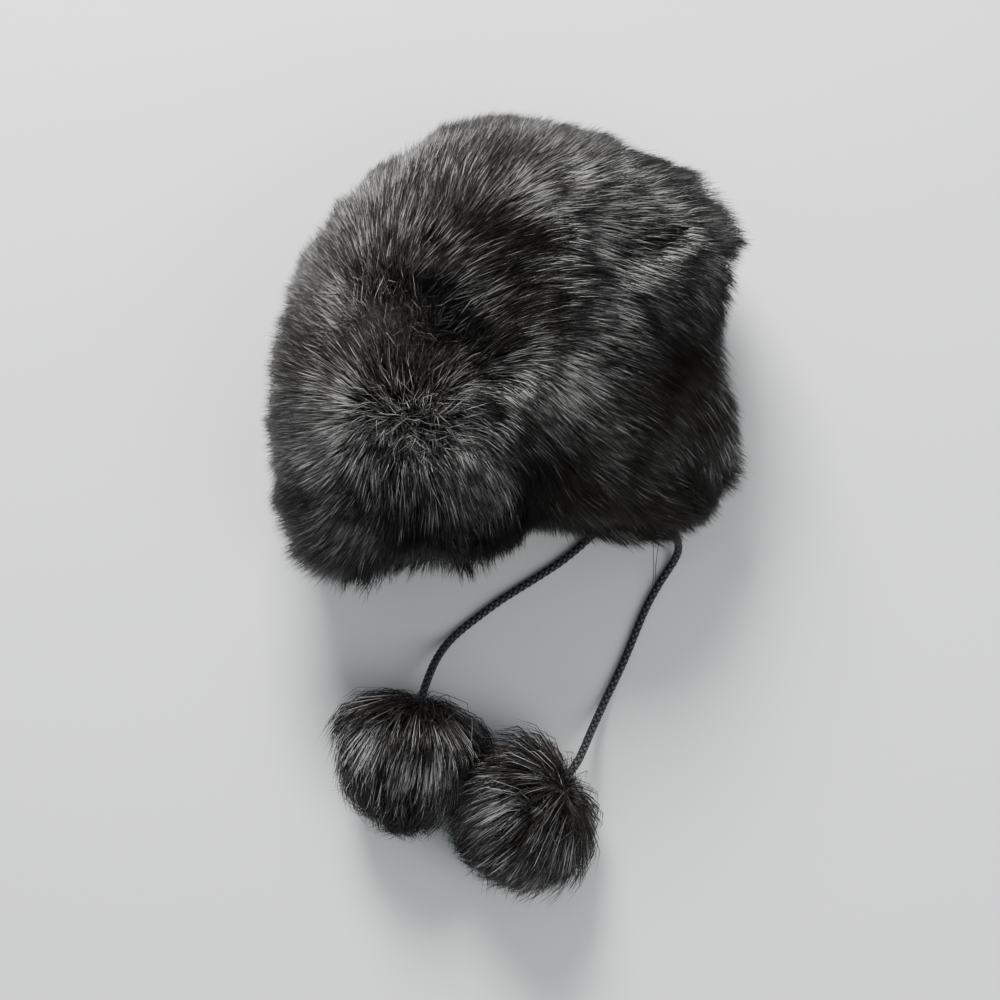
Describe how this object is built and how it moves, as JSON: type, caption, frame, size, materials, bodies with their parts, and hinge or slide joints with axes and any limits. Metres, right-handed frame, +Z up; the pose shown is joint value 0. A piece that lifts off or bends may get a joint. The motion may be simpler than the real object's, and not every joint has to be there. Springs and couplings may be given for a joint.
{
  "type": "faux fur bonnet with ear flaps and pompom ties",
  "caption": "Soft faux fur bonnet with ear flaps, a deep head hollow open to the face and neck, and braided ties that end in fur pompoms.",
  "frame": {"origin": "on the surface that the hat lies on, under the middle of the hat without its ties and pompoms", "axes": "+Z up from the surface, +X the way that the face opening looks, +Y towards the top of the crown"},
  "size_m": [0.2543, 0.4106, 0.1317],
  "materials": {
    "fur": "long silver-tipped charcoal pile",
    "flap_fur": "long charcoal pile",
    "pompom_fur": "dense dark grey-brown pile",
    "cord": "matt black round braid"
  },
  "bodies": {
    "root": {"centre_panel": "fur", "right_side_panel": "fur", "left_side_panel": "fur", "right_ear_flap": "flap_fur", "left_ear_flap": "flap_fur", "right_tie": "cord", "left_tie": "cord", "right_pompom": "pompom_fur", "left_pompom": "pompom_fur"}
  },
  "joints": []
}
